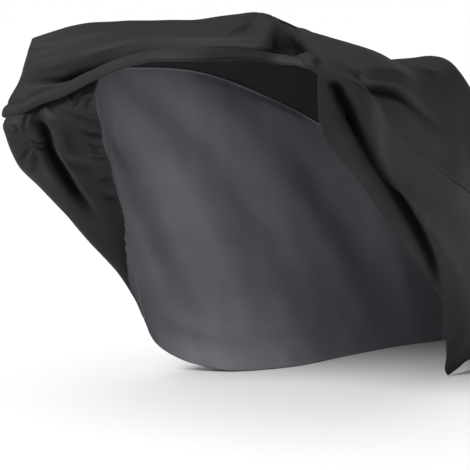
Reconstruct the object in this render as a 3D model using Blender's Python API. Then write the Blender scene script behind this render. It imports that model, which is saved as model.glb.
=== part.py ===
"""A large fitted cover of coated cloth, draped and open at its front near side. Units are metres, +Z is up, +X runs
from the open front to the tail, and -Y is the near side, whose rim is pulled back.

Four cut panels are sewn into one hollow shell: the near side, the top (which runs from the edge turned under over the
mouth, along the roof and down the tail), the far side, and the gathered nose at the far front corner. Each panel is a
2 mm sheet. Its shape comes from the lines it is sewn or hemmed along, plus the folds listed beside them.
"""

import math

import bpy
import numpy as np

# Sizes

THICK = 0.002  # the sheet
SEAM_GAP = 0.00022  # each panel stops this short of the line it is sewn along
DATUM = (0.7638, 0.0517, 0.0)  # middle of the cover's footprint on the floor, in the coordinates of the tables

ROWS_SIDE = 24  # sections along a side panel
ROWS_UP = 14  # sections up a side panel
ROWS_ACROSS = 24  # sections across the top panel
ROWS_VISOR = 8  # sections from the mouth's edge to the crest
ROWS_ROLL = 3  # sections round the turned edge
ROWS_TAIL = 7  # sections down the tail
ROWS_NOSE = 18  # sections round the nose

# Lines that the panels are cut, sewn or hemmed along. Columns: x, y, z.

NEAR_RIM = (  # the free edge of the near side, from the floor up to the mouth's corner
    (1.080, -0.202, 0.000), (1.064, -0.204, 0.016), (1.047, -0.219, 0.063), (1.025, -0.232, 0.104),
    (0.984, -0.257, 0.181), (0.945, -0.274, 0.238), (0.899, -0.286, 0.282), (0.848, -0.297, 0.322),
    (0.800, -0.307, 0.361), (0.684, -0.328, 0.441), (0.541, -0.354, 0.543), (0.422, -0.374, 0.635),
    (0.320, -0.388, 0.707), (0.255, -0.395, 0.761), (0.232, -0.398, 0.787), (0.218, -0.400, 0.815),
    (0.214, -0.400, 0.849), (0.211, -0.400, 0.931))
NEAR_SEAM = (  # near side to top, from the mouth's corner to the tail
    (0.211, -0.400, 0.931), (0.293, -0.450, 0.903), (0.487, -0.415, 0.788), (0.777, -0.360, 0.650),
    (1.014, -0.310, 0.556), (1.280, -0.220, 0.460), (1.470, -0.100, 0.400))
NEAR_HEM = (  # it stands off the floor behind its front corner
    (1.080, -0.202, 0.000), (1.116, -0.205, 0.014), (1.157, -0.205, 0.029), (1.210, -0.199, 0.030),
    (1.290, -0.187, 0.008), (1.340, -0.170, 0.000), (1.420, -0.130, 0.000), (1.490, -0.075, 0.000))
NEAR_TAIL = ((1.490, -0.075, 0.000), (1.515, -0.090, 0.200), (1.470, -0.100, 0.400))
FAR_SEAM = (
    (0.310, 0.530, 0.900), (0.450, 0.485, 0.900), (0.640, 0.425, 0.887), (0.930, 0.380, 0.800),
    (1.200, 0.290, 0.660), (1.470, 0.120, 0.440))
FAR_TAIL = ((1.490, 0.090, 0.000), (1.515, 0.105, 0.200), (1.470, 0.120, 0.440))
FAR_HEM = (  # off the floor at the front, where it is held up by the nose
    (0.490, 0.462, 0.170), (0.543, 0.450, 0.087), (0.600, 0.415, 0.037),
    (0.655, 0.360, 0.012), (0.710, 0.301, 0.000), (0.865, 0.215, 0.000), (1.094, 0.184, 0.000),
    (1.300, 0.150, 0.000), (1.490, 0.090, 0.000))
NOSE_SEAM = (  # nose to far side, from the hem's corner up to the top panel
    (0.490, 0.462, 0.170), (0.470, 0.482, 0.330), (0.430, 0.495, 0.500), (0.380, 0.505, 0.700),
    (0.325, 0.520, 0.880), (0.310, 0.530, 0.900))
NOSE_EDGE = (  # the gathered edge of the nose, from the bottom up to behind the mouth's edge
    (0.416, 0.450, 0.302), (0.390, 0.435, 0.405), (0.367, 0.415, 0.483), (0.340, 0.400, 0.524),
    (0.287, 0.370, 0.588), (0.220, 0.325, 0.668), (0.163, 0.290, 0.718), (0.137, 0.270, 0.769),
    (0.104, 0.255, 0.809), (0.092, 0.246, 0.868), (0.108, 0.245, 0.900))
NOSE_TURN = (  # the line where the nose turns from its front to its side
    (0.428, 0.456, 0.278), (0.366, 0.460, 0.346), (0.303, 0.475, 0.407), (0.199, 0.490, 0.514),
    (0.119, 0.490, 0.588), (0.036, 0.485, 0.656), (-0.006, 0.486, 0.735), (-0.012, 0.490, 0.764),
    (0.006, 0.494, 0.786), (0.045, 0.476, 0.812), (0.078, 0.457, 0.852))
NOSE_TOP = 0.988  # the nose reaches this far up its seam

# The top panel over the mouth, from its near end to its far end. Columns: the lower edge, then the crest.

VISOR = (
    (0.190, -0.372, 0.950, 0.211, -0.400, 0.931), (0.186, -0.345, 0.953, 0.262, -0.358, 0.967),
    (0.181, -0.318, 0.956, 0.330, -0.260, 0.991), (0.173, -0.285, 0.959, 0.392, -0.165, 1.026),
    (0.158, -0.245, 0.965, 0.385, -0.080, 1.064), (0.140, -0.180, 0.965, 0.354, -0.020, 1.063),
    (0.113, -0.105, 0.960, 0.317, 0.080, 1.049), (0.082, 0.030, 0.955, 0.281, 0.190, 1.043),
    (0.075, 0.125, 0.933, 0.232, 0.290, 1.038), (0.061, 0.215, 0.897, 0.175, 0.375, 1.032),
    (0.046, 0.325, 0.846, 0.123, 0.430, 1.012), (0.025, 0.400, 0.818, 0.095, 0.458, 0.999),
    (0.004, 0.460, 0.787, 0.086, 0.475, 0.991), (-0.003, 0.502, 0.786, 0.107, 0.499, 0.982),
    (0.056, 0.540, 0.796, 0.160, 0.520, 0.962), (0.150, 0.558, 0.824, 0.235, 0.535, 0.930),
    (0.262, 0.549, 0.850, 0.310, 0.530, 0.900))

# The roof behind the crest. Columns: how far back it lies, where its three middle points lie across it, then the near
# shoulder, the ridge and the far shoulder.

ROOF = (
    (0.12, 0.13, 0.34, 0.80, 0.380, -0.385, 0.945, 0.500, -0.100, 1.020, 0.420, 0.420, 0.965),
    (0.30, 0.18, 0.38, 0.80, 0.600, -0.335, 0.925, 0.700, -0.090, 0.984, 0.620, 0.380, 0.940),
    (0.46, 0.22, 0.45, 0.80, 0.800, -0.285, 0.890, 0.850, -0.070, 0.930, 0.800, 0.330, 0.905),
    (0.60, 0.26, 0.50, 0.78, 0.993, -0.238, 0.914, 1.000, -0.020, 0.905, 1.000, 0.240, 0.888),
    (0.72, 0.25, 0.50, 0.75, 1.110, -0.238, 0.846, 1.120, 0.000, 0.850, 1.110, 0.220, 0.840),
    (0.86, 0.25, 0.50, 0.75, 1.270, -0.170, 0.670, 1.300, 0.010, 0.700, 1.290, 0.180, 0.690),
    (1.00, 0.25, 0.50, 0.75, 1.485, -0.050, 0.430, 1.492, 0.010, 0.445, 1.485, 0.070, 0.448))
TAIL_BULGE = 0.035

# Folds

NEAR_FOLD_AT = 0.15  # the long fold lies here across the near side's sections
NEAR_FOLD = (  # columns: height, where it lies along the panel, depth
    (0.00, 0.028, 0.000), (0.25, 0.028, 0.000), (0.30, 0.029, 0.004), (0.34, 0.035, 0.009), (0.41, 0.052, 0.015),
    (0.48, 0.067, 0.020), (0.56, 0.077, 0.025), (0.63, 0.082, 0.028), (0.75, 0.092, 0.029), (0.82, 0.094, 0.028),
    (0.88, 0.093, 0.025), (0.91, 0.086, 0.022), (0.94, 0.066, 0.018), (0.96, 0.048, 0.014), (0.985, 0.036, 0.007),
    (1.00, 0.035, 0.000))
NEAR_BELLY = 0.030
NEAR_FOOT = 0.014  # the roll above the near hem
FAR_BELLY = 0.075
VISOR_FOLDS = (  # columns: along the mouth, height of the cuff, depth of its crease, height and depth of the hollow
    (0.00, 0.30, 0.000, 0.60, 0.000), (0.08, 0.30, 0.003, 0.62, 0.003), (0.16, 0.13, 0.006, 0.30, 0.000),
    (0.23, 0.10, 0.008, 0.30, 0.000), (0.285, 0.14, 0.009, 0.30, 0.000), (0.385, 0.22, 0.009, 0.30, 0.002),
    (0.49, 0.23, 0.008, 0.29, 0.005), (0.54, 0.23, 0.006, 0.29, 0.009), (0.60, 0.19, 0.005, 0.27, 0.012),
    (0.64, 0.17, 0.004, 0.29, 0.013), (0.68, 0.16, 0.005, 0.33, 0.013), (0.72, 0.15, 0.005, 0.38, 0.012),
    (0.76, 0.15, 0.003, 0.42, 0.005), (0.82, 0.15, 0.002, 0.45, 0.000), (1.00, 0.30, 0.000, 0.60, 0.000))
GROOVE = (  # the long groove above the cuff. Columns: along the mouth, how far up, depth
    (0.00, 0.10, 0.000), (0.10, 0.08, 0.000), (0.19, 0.07, 0.005), (0.23, 0.08, 0.010), (0.29, 0.12, 0.011),
    (0.39, 0.20, 0.011), (0.47, 0.22, 0.012), (0.51, 0.23, 0.015), (0.56, 0.20, 0.020), (0.60, 0.19, 0.025),
    (0.65, 0.23, 0.025), (0.69, 0.26, 0.018), (0.73, 0.33, 0.009), (0.77, 0.37, 0.000), (1.00, 0.37, 0.000))
ROLL = (  # columns: along the mouth, radius of the edge turned under, width turned up inside
    (0.00, 0.004, 0.008), (0.12, 0.006, 0.020), (0.30, 0.007, 0.032), (0.46, 0.007, 0.032), (0.56, 0.006, 0.012),
    (0.85, 0.005, 0.009), (0.93, 0.004, 0.007), (1.00, 0.004, 0.006))
TROUGH = (  # the hollow in the roof beside the near seam. Columns: how far back, how far across, depth
    (0.05, 0.012, 0.000), (0.10, 0.030, 0.007), (0.16, 0.053, 0.012), (0.21, 0.072, 0.016), (0.26, 0.080, 0.018),
    (0.30, 0.083, 0.016), (0.35, 0.089, 0.013), (0.44, 0.100, 0.008), (0.51, 0.100, 0.005), (0.62, 0.100, 0.000))
NOSE_FOLD = (  # the fold that lies over the nose's front. Columns: height, how far round, depth
    (0.20, 0.240, 0.000), (0.36, 0.245, 0.003), (0.50, 0.250, 0.012), (0.66, 0.250, 0.016), (0.74, 0.250, 0.014),
    (0.80, 0.258, 0.009), (0.88, 0.270, 0.005), (0.94, 0.275, 0.001), (1.00, 0.280, 0.000))

# Cloth shapes


def smooth_line(knots, rows, at, calm=False):
    """A smooth line through rows at their knots, one for all of at, or one of its own for each."""
    knots, rows, at = np.asarray(knots, float), np.asarray(rows, float), np.asarray(at, float)
    single = rows.ndim == 2
    if single:
        rows = rows[:, None, :]
    shape, at = at.shape, at.ravel()
    step = np.diff(knots)[:, None, None]
    rise = np.diff(rows, axis=0) / step
    inner = (step[1:] * rise[:-1] + step[:-1] * rise[1:]) / (step[1:] + step[:-1])
    if calm:  # never past the rows on either side
        most = 2.0 * np.minimum(np.abs(rise[:-1]), np.abs(rise[1:]))
        inner = np.where(rise[:-1] * rise[1:] > 0, np.clip(inner, -most, most), 0.0)
    slope = np.concatenate([rise[:1], inner, rise[-1:]])
    i = np.clip(np.searchsorted(knots, at, side="right") - 1, 0, len(step) - 1)
    j = np.zeros(len(at), int) if single else np.arange(len(at))
    h = step[i, 0]
    u = (at - knots[i])[:, None] / h
    out = ((1 + 2 * u) * (1 - u) ** 2 * rows[i, j] + u * (1 - u) ** 2 * h * slope[i, j]
           + u * u * (3 - 2 * u) * rows[i + 1, j] + u * u * (u - 1) * h * slope[i + 1, j])
    return out.reshape(shape + (rows.shape[-1],))


def line(rows, at):
    """A point at a share of the way along a table's line."""
    rows = np.asarray(rows, float)
    chord = np.concatenate([[0.0], np.cumsum(np.linalg.norm(np.diff(rows, axis=0), axis=1))])
    return smooth_line(chord / chord[-1], rows, at)


def column(table, at, k):
    table = np.asarray(table, float)
    return smooth_line(table[:, 0], table[:, k:k + 1], at, True)[..., 0]


def bump(v, width):
    return np.exp(-(v / width) ** 2)


def ramp(v, a, b):
    u = np.clip((v - a) / (b - a), 0, 1)
    return u * u * (3 - 2 * u)


def arch(v):
    return np.sin(math.pi * np.clip(v, 0, 1))


def patch(s, h, low, high, first, last):
    """The sheet between four lines: low and high run along s, first and last up h."""
    a, b, c, d = line(low, s), line(high, s), line(first, h), line(last, h)
    p00, p10, p01, p11 = (np.asarray(v, float) for v in (low[0], low[-1], high[0], high[-1]))
    s, h = s[..., None], h[..., None]
    return ((1 - h) * a + h * b + (1 - s) * c + s * d
            - (1 - s) * (1 - h) * p00 - s * (1 - h) * p10 - (1 - s) * h * p01 - s * h * p11)


def normals(grid, outward):
    n = outward * np.cross(np.gradient(grid, axis=0), np.gradient(grid, axis=1))
    return n / np.maximum(np.linalg.norm(n, axis=-1, keepdims=True), 1e-12)


def along(k, h):
    """Where section k lies along the near side: the long fold always lies at NEAR_FOLD_AT."""
    fold = column(NEAR_FOLD, h, 1)
    return np.where(k < NEAR_FOLD_AT, fold * k / NEAR_FOLD_AT,
                    fold + (1 - fold) * (k - NEAR_FOLD_AT) / (1 - NEAR_FOLD_AT))


def near_side(k, h):
    s = along(k, h)
    p = patch(s, h, NEAR_HEM, NEAR_SEAM, NEAR_RIM, NEAR_TAIL)
    out = NEAR_BELLY * arch(h) * ramp(s, 0.0, 0.22) * np.clip(1 - s, 0, 1) ** 0.5
    out += NEAR_FOOT * bump(h - 0.085, 0.06) * ramp(s, 0.02, 0.12) * ramp(1 - s, 0.0, 0.3)
    p[..., 1] -= out
    beside = k - NEAR_FOLD_AT  # the fold is steep behind and runs out softly to the rim in front
    d = -0.65 * bump(beside, np.where(beside < 0, 0.018, 0.009)) - 0.35 * bump(beside, np.where(beside < 0, 0.060, 0.015))
    d *= column(NEAR_FOLD, h, 2) * np.clip(np.minimum(k, 1 - k) / 0.02, 0, 1) * np.clip((1 - h) / 0.04, 0, 1)
    p += normals(p, 1) * d[..., None]
    p[..., 2] = np.maximum(p[..., 2], 0)
    return p


def far_side(k, h):
    s = along(k, np.ones_like(k))
    p = patch(s, h, FAR_HEM, FAR_SEAM, NOSE_SEAM, FAR_TAIL)
    low = ramp(s, 0.0, 0.3) * np.clip(1 - s, 0, 1) ** 0.5
    p[..., 1] += FAR_BELLY * arch(h ** 0.6) * low
    p[..., 2] = np.maximum(p[..., 2] - 0.015 * bump(h - 0.16, 0.12) * low, 0)
    return p


def roof(s, t):
    knots = [0.0] + [row[0] for row in ROOF]
    near, far = line(NEAR_SEAM, np.array(knots)), line(FAR_SEAM, np.array(knots))
    flat_s, flat_t = s.ravel(), t.ravel()
    rows = [line(VISOR, flat_t)[:, 3:]]
    for row, n, f in zip(ROOF, near[1:], far[1:]):
        rows.append(smooth_line((0, row[1], row[2], row[3], 1), (n, row[4:7], row[7:10], row[10:13], f), flat_t))
    p = smooth_line(knots, np.array(rows), flat_s, True)
    # its two long edges keep to their seams
    near_off = line(NEAR_SEAM, flat_s) - smooth_line(knots, near, flat_s, True)
    far_off = line(FAR_SEAM, flat_s) - smooth_line(knots, far, flat_s, True)
    p += near_off * (1 - flat_t[:, None]) ** 4 + far_off * flat_t[:, None] ** 4
    return p.reshape(s.shape + (3,))


def visor(q, t):
    row = line(VISOR, t)
    p = row[..., :3] + (row[..., 3:] - row[..., :3]) * q[..., None]
    up = row[..., 3:] - row[..., :3]
    up /= np.linalg.norm(up, axis=-1, keepdims=True)
    return p + up * (column(ROLL, t, 1) * (1 - q))[..., None]


def tail(h, t):
    low_near, low_far = line(NEAR_TAIL, h), line(FAR_TAIL, h)
    top = roof(np.ones_like(t), t)
    near, far = np.array(NEAR_TAIL[-1]), np.array(FAR_TAIL[-1])
    t, h = t[..., None], h[..., None]
    p = low_near * (1 - t) + low_far * t + h * (top - near * (1 - t) - far * t)
    p[..., 0:1] += TAIL_BULGE * (1 - h) * arch(t)
    return p


def top_folds(q, s, t):
    """How far each point of the top panel stands out of its smooth sheet: q is 1 and more behind the crest."""
    cuff, crease, height, hollow = (column(VISOR_FOLDS, t, k) for k in (1, 2, 3, 4))
    d = 0.007 * arch(q / cuff) ** 0.8 * (1 - 0.7 * ramp(t, 0.74, 0.86))
    d -= crease * bump(q - cuff, 0.22 * cuff)
    d -= 0.5 * hollow * bump(q - height, 0.085)
    # the long groove, and the cloth that hangs over it
    above = q - column(GROOVE, t, 1)
    d += column(GROOVE, t, 2) * (0.5 * bump(above - 0.13, 0.09) - bump(above, 0.055))
    d += 0.010 * arch((q - cuff) / (1 - cuff)) * ramp(0.84 - t, 0.0, 0.2)
    # the valley behind the crest, down to the near corner, with the roof standing up behind it
    back = np.where(q < 1, (q - 1) * 0.13, s)
    reach = ramp(t, 0.01, 0.05) * (1 - ramp(t, 0.13, 0.2))
    d += reach * (0.008 * bump(back - 0.035, 0.022) - 0.018 * bump(back, np.where(q < 1, 0.030, 0.012)))
    d -= np.where(q < 1, 0, column(TROUGH, s, 2) * bump(t - column(TROUGH, s, 1), 0.035))
    return d * np.clip(np.minimum(t, 1 - t) / 0.03, 0, 1)


def top_panel(qs, ss, hs, ts, rolls):
    """Rows from the edge turned up inside, round the roll, up to the crest, back along the roof and down the tail."""
    q, t = np.meshgrid(qs, ts, indexing="ij")
    s, t2 = np.meshgrid(ss, ts, indexing="ij")
    h, t3 = np.meshgrid(hs, ts, indexing="ij")
    base = np.concatenate([visor(q, t), roof(s, t2)[1:], tail(h, t3)[1:]])
    full_q = np.concatenate([q, np.full_like(s, 2.0)[1:], np.full_like(h, 2.0)[1:]])
    full_s = np.concatenate([np.zeros_like(q), s[1:], np.ones_like(h)[1:]])
    full_t = np.concatenate([t, t2[1:], t3[1:]])
    n = normals(base, 1)
    p = base + n * top_folds(full_q, full_s, full_t)[..., None]
    radius, width = column(ROLL, ts, 1)[:, None], column(ROLL, ts, 2)[:, None]
    up = base[1] - base[0]
    up /= np.linalg.norm(up, axis=-1, keepdims=True)
    rows = []
    for g in rolls:  # from 2, the inner end, to just above 0, where the cuff starts
        a = math.pi * min(g, 1)
        rows.append(p[0] + n[0] * radius * (math.cos(a) - 1) - up * radius * math.sin(a) + up * width * max(g - 1, 0))
    p = np.concatenate([np.array(rows), p])
    p[..., 2] = np.maximum(p[..., 2], 0)
    return p


def nose(a, b):
    edge, turn, back = line(NOSE_EDGE, b), line(NOSE_TURN, b), line(NOSE_SEAM, NOSE_TOP * b)
    full = arch(b)[..., None]
    front = (edge + turn) / 2 + np.array([-0.015, -0.020, 0.0]) * full
    side = turn * 0.6 + back * 0.4 + np.array([0.0, 0.030, 0.0]) * full
    rows = np.array([v.reshape(-1, 3) for v in (edge, front, turn, side, back)])
    p = smooth_line((0, 0.25, 0.5, 0.72, 1.0), rows, a.ravel()).reshape(a.shape + (3,))
    where, depth = column(NOSE_FOLD, b, 1), column(NOSE_FOLD, b, 2)
    d = depth * (0.7 * bump(a - where + 0.03, 0.035) - 1.2 * bump(a - where - 0.040, 0.030))
    return p + normals(p, -1) * d[..., None]


# Solids


def sheet(name, grid, out, outward, sewn):
    """A closed solid of one panel: its outer face, the same face set in by the thickness, and the edge between them.

    outward is -1 where rows by columns would face in. sewn names the sides that stop short of a seam: low and high
    rows, first and last columns."""
    grid = grid.copy()
    for side, edge, inner in (("low", (0,), (1,)), ("high", (-1,), (-2,)),
                              ("first", (slice(None), 0), (slice(None), 1)), ("last", (slice(None), -1), (slice(None), -2))):
        if side in sewn:
            step = grid[inner] - grid[edge]
            grid[edge] += step / np.linalg.norm(step, axis=-1, keepdims=True) * SEAM_GAP
    rows, cols = grid.shape[:2]
    inside = grid - out * THICK
    inside[..., 2] = np.maximum(inside[..., 2], 0)
    points = np.concatenate([grid.reshape(-1, 3), inside.reshape(-1, 3)]) - np.array(DATUM)
    count = rows * cols
    faces = []
    for i in range(rows - 1):
        for j in range(cols - 1):
            a, b, c, d = i * cols + j, i * cols + j + 1, (i + 1) * cols + j + 1, (i + 1) * cols + j
            faces += [(a, d, c, b), (count + a, count + b, count + c, count + d)]
    ring = ([(i, 0) for i in range(rows)] + [(rows - 1, j) for j in range(1, cols)]
            + [(i, cols - 1) for i in range(rows - 2, -1, -1)] + [(0, j) for j in range(cols - 2, 0, -1)])
    ring = [i * cols + j for i, j in ring]
    for a, b in zip(ring, ring[1:] + ring[:1]):
        faces.append((a, count + a, count + b, b))
    if outward < 0:
        faces = [face[::-1] for face in faces]
    mesh = bpy.data.meshes.new(name)
    mesh.from_pydata([tuple(p) for p in points], [], faces)
    mesh.shade_smooth()
    mesh.set_sharp_from_angle(angle=math.radians(50))
    ob = bpy.data.objects.new(name, mesh)
    bpy.context.scene.collection.objects.link(ob)
    return ob


def material(ob, colour, roughness):
    mat = bpy.data.materials.new(ob.name)
    mat.use_nodes = True
    shader = mat.node_tree.nodes["Principled BSDF"]
    shader.inputs["Base Color"].default_value = (*colour, 1)
    shader.inputs["Roughness"].default_value = roughness
    shader.inputs["Metallic"].default_value = 0.0
    ob.data.materials.append(mat)


def share(*edges):
    """Neighbours keep one normal along their seam, so that their cut faces stay parallel."""
    mean = sum(edges)
    mean /= np.linalg.norm(mean, axis=-1, keepdims=True)
    for edge in edges:
        edge[...] = mean


def main():
    for ob in list(bpy.data.objects):
        bpy.data.objects.remove(ob, do_unlink=True)

    k = np.concatenate([[0, 0.035, 0.070, 0.105, 0.130, 0.150, 0.165, 0.190, 0.225],
                        np.linspace(0.27, 1, ROWS_SIDE - 8)])
    h = np.concatenate([np.linspace(0, 0.9, ROWS_UP - 2), [NOSE_TOP, 1.0]])
    t = np.concatenate([[0, 0.03, 0.06, 0.09, 0.12, 0.155], np.linspace(0.2, 0.8, ROWS_ACROSS - 12),
                        [0.84, 0.88, 0.91, 0.94, 0.97, 1.0]])
    q = np.concatenate([[0, 0.06, 0.13, 0.20], np.linspace(0.30, 1, ROWS_VISOR - 3)])
    kk, hh = np.meshgrid(k, h, indexing="ij")
    s = along(k, np.ones_like(k))
    near = near_side(kk, hh)
    far = far_side(kk, hh)
    rolls = [2.0, 1.5] + [1 - i / ROWS_ROLL for i in range(ROWS_ROLL)]
    tail_h = np.flip(h)
    top = top_panel(q, s, tail_h, t, rolls)
    b = h[:-1] / NOSE_TOP
    aa, bb = np.meshgrid(np.linspace(0, 1, ROWS_NOSE), b, indexing="ij")
    front = nose(aa, bb)

    near_n, far_n, top_n, front_n = normals(near, 1), normals(far, -1), normals(top, 1), normals(front, -1)
    first = len(rolls) + len(q) - 1  # the crest's row in the top panel
    roof_end = first + len(s)
    share(near_n[:, -1], top_n[first:roof_end, 0])
    share(far_n[:, -1], top_n[first:roof_end, -1])
    share(near_n[-1, :-1][::-1], top_n[roof_end:, 0])
    share(far_n[-1, :-1][::-1], top_n[roof_end:, -1])
    share(far_n[0, :-1], front_n[-1])

    black = (0.045, 0.046, 0.050)
    material(sheet("near_side_panel", near, near_n, 1, ("high", "last")), black, 0.6)
    material(sheet("top_panel", top, top_n, 1, ("first", "last")), black, 0.6)
    material(sheet("far_side_panel", far, far_n, -1, ("low", "high", "last")), black, 0.6)
    material(sheet("nose_panel", front, front_n, -1, ("high",)), black, 0.6)


main()
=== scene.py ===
"""The looks of a fitted cover of black coated cloth: four sewn panels as thin sheets on the folds of their solids, with
finer folds, seams, hems and gathers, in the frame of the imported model. Metres, +Z up, -Y the near side."""

import math

import bpy
import numpy as np
from mathutils import Matrix, Vector


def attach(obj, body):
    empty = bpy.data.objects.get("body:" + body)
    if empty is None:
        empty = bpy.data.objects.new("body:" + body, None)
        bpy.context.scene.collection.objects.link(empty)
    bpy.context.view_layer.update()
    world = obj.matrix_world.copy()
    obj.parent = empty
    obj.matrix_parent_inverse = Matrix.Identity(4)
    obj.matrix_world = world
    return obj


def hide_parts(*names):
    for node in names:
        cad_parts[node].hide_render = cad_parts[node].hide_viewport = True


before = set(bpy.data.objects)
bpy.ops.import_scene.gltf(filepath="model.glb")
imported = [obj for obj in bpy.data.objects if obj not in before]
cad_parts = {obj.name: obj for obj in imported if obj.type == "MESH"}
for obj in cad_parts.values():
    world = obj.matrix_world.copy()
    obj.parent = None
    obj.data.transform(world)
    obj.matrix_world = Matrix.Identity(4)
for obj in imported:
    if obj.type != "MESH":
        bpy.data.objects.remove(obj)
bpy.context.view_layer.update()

# Sizes

THICK = 0.0012  # the sheet, with its coating
HEM = 0.022  # width of a folded hem
HEM_STEP = 0.0009  # how far a hem's second layer stands in
SEAM_DIP = 0.0030  # how far a seam is drawn in
SEAM_REACH = 0.0050
PAINTED_FOLD_SHADE_DEPTHS = (0.004, 0.021)  # painted shade: a fold darkens the cloth's colour from the first depth down to the second
DATUM = np.array([0.7638, 0.0517, 0.0])  # the tables' coordinates less this are the model's

# Lines that the panels are cut, sewn or hemmed along. Columns: x, y, z.

NEAR_RIM = (  # the free edge of the near side, from the floor up to the mouth's corner
    (1.080, -0.202, 0.000), (1.064, -0.204, 0.016), (1.047, -0.219, 0.063), (1.025, -0.232, 0.104),
    (0.984, -0.257, 0.181), (0.945, -0.274, 0.238), (0.899, -0.286, 0.282), (0.848, -0.297, 0.322),
    (0.800, -0.307, 0.361), (0.684, -0.328, 0.441), (0.541, -0.354, 0.543), (0.422, -0.374, 0.635),
    (0.320, -0.388, 0.707), (0.255, -0.395, 0.761), (0.232, -0.398, 0.787), (0.218, -0.400, 0.815),
    (0.214, -0.400, 0.849), (0.211, -0.400, 0.931))
NEAR_SEAM = (  # near side to top, from the mouth's corner to the tail
    (0.211, -0.400, 0.931), (0.293, -0.450, 0.903), (0.487, -0.415, 0.788), (0.777, -0.360, 0.650),
    (1.014, -0.310, 0.556), (1.280, -0.220, 0.460), (1.470, -0.100, 0.400))
NEAR_HEM = (  # it stands off the floor behind its front corner
    (1.080, -0.202, 0.000), (1.116, -0.205, 0.014), (1.157, -0.205, 0.029), (1.210, -0.199, 0.030),
    (1.290, -0.187, 0.008), (1.340, -0.170, 0.000), (1.420, -0.130, 0.000), (1.490, -0.075, 0.000))
NEAR_TAIL = ((1.490, -0.075, 0.000), (1.515, -0.090, 0.200), (1.470, -0.100, 0.400))
FAR_SEAM = (
    (0.310, 0.530, 0.900), (0.450, 0.485, 0.900), (0.640, 0.425, 0.887), (0.930, 0.380, 0.800),
    (1.200, 0.290, 0.660), (1.470, 0.120, 0.440))
FAR_TAIL = ((1.490, 0.090, 0.000), (1.515, 0.105, 0.200), (1.470, 0.120, 0.440))
FAR_HEM = (  # off the floor at the front, where it is held up by the nose
    (0.490, 0.462, 0.170), (0.543, 0.450, 0.087), (0.600, 0.415, 0.037),
    (0.655, 0.360, 0.012), (0.710, 0.301, 0.000), (0.865, 0.215, 0.000), (1.094, 0.184, 0.000),
    (1.300, 0.150, 0.000), (1.490, 0.090, 0.000))
NOSE_SEAM = (  # nose to far side, from the hem's corner up to the top panel
    (0.490, 0.462, 0.170), (0.470, 0.482, 0.330), (0.430, 0.495, 0.500), (0.380, 0.505, 0.700),
    (0.325, 0.520, 0.880), (0.310, 0.530, 0.900))
NOSE_EDGE = (  # the gathered edge of the nose, from the bottom up to behind the mouth's edge
    (0.416, 0.450, 0.302), (0.390, 0.435, 0.405), (0.367, 0.415, 0.483), (0.340, 0.400, 0.524),
    (0.287, 0.370, 0.588), (0.220, 0.325, 0.668), (0.163, 0.290, 0.718), (0.137, 0.270, 0.769),
    (0.104, 0.255, 0.809), (0.092, 0.246, 0.868), (0.108, 0.245, 0.900))
NOSE_TURN = (  # the line where the nose turns from its front to its side
    (0.428, 0.456, 0.278), (0.366, 0.460, 0.346), (0.303, 0.475, 0.407), (0.199, 0.490, 0.514),
    (0.119, 0.490, 0.588), (0.036, 0.485, 0.656), (-0.006, 0.486, 0.735), (-0.012, 0.490, 0.764),
    (0.006, 0.494, 0.786), (0.045, 0.476, 0.812), (0.078, 0.457, 0.852))
NOSE_TOP = 0.988  # the nose reaches this far up its seam

# The top panel over the mouth, from its near end to its far end. Columns: the lower edge, then the crest.

VISOR = (
    (0.190, -0.372, 0.950, 0.211, -0.400, 0.931), (0.186, -0.345, 0.953, 0.262, -0.358, 0.967),
    (0.181, -0.318, 0.956, 0.330, -0.260, 0.991), (0.173, -0.285, 0.959, 0.392, -0.165, 1.026),
    (0.158, -0.245, 0.965, 0.385, -0.080, 1.064), (0.140, -0.180, 0.965, 0.354, -0.020, 1.063),
    (0.113, -0.105, 0.960, 0.317, 0.080, 1.049), (0.082, 0.030, 0.955, 0.281, 0.190, 1.043),
    (0.075, 0.125, 0.933, 0.232, 0.290, 1.038), (0.061, 0.215, 0.897, 0.175, 0.375, 1.032),
    (0.046, 0.325, 0.846, 0.123, 0.430, 1.012), (0.025, 0.400, 0.818, 0.095, 0.458, 0.999),
    (0.004, 0.460, 0.787, 0.086, 0.475, 0.991), (-0.003, 0.502, 0.786, 0.107, 0.499, 0.982),
    (0.056, 0.540, 0.796, 0.160, 0.520, 0.962), (0.150, 0.558, 0.824, 0.235, 0.535, 0.930),
    (0.262, 0.549, 0.850, 0.310, 0.530, 0.900))

# The roof behind the crest. Columns: how far back it lies, where its three middle points lie across it, then the near
# shoulder, the ridge and the far shoulder.

ROOF = (
    (0.12, 0.13, 0.34, 0.80, 0.380, -0.385, 0.945, 0.500, -0.100, 1.020, 0.420, 0.420, 0.965),
    (0.30, 0.18, 0.38, 0.80, 0.600, -0.335, 0.925, 0.700, -0.090, 0.984, 0.620, 0.380, 0.940),
    (0.46, 0.22, 0.45, 0.80, 0.800, -0.285, 0.890, 0.850, -0.070, 0.930, 0.800, 0.330, 0.905),
    (0.60, 0.26, 0.50, 0.78, 0.993, -0.238, 0.914, 1.000, -0.020, 0.905, 1.000, 0.240, 0.888),
    (0.72, 0.25, 0.50, 0.75, 1.110, -0.238, 0.846, 1.120, 0.000, 0.850, 1.110, 0.220, 0.840),
    (0.86, 0.25, 0.50, 0.75, 1.270, -0.170, 0.670, 1.300, 0.010, 0.700, 1.290, 0.180, 0.690),
    (1.00, 0.25, 0.50, 0.75, 1.485, -0.050, 0.430, 1.492, 0.010, 0.445, 1.485, 0.070, 0.448))
TAIL_BULGE = 0.035

# Main folds

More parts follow.
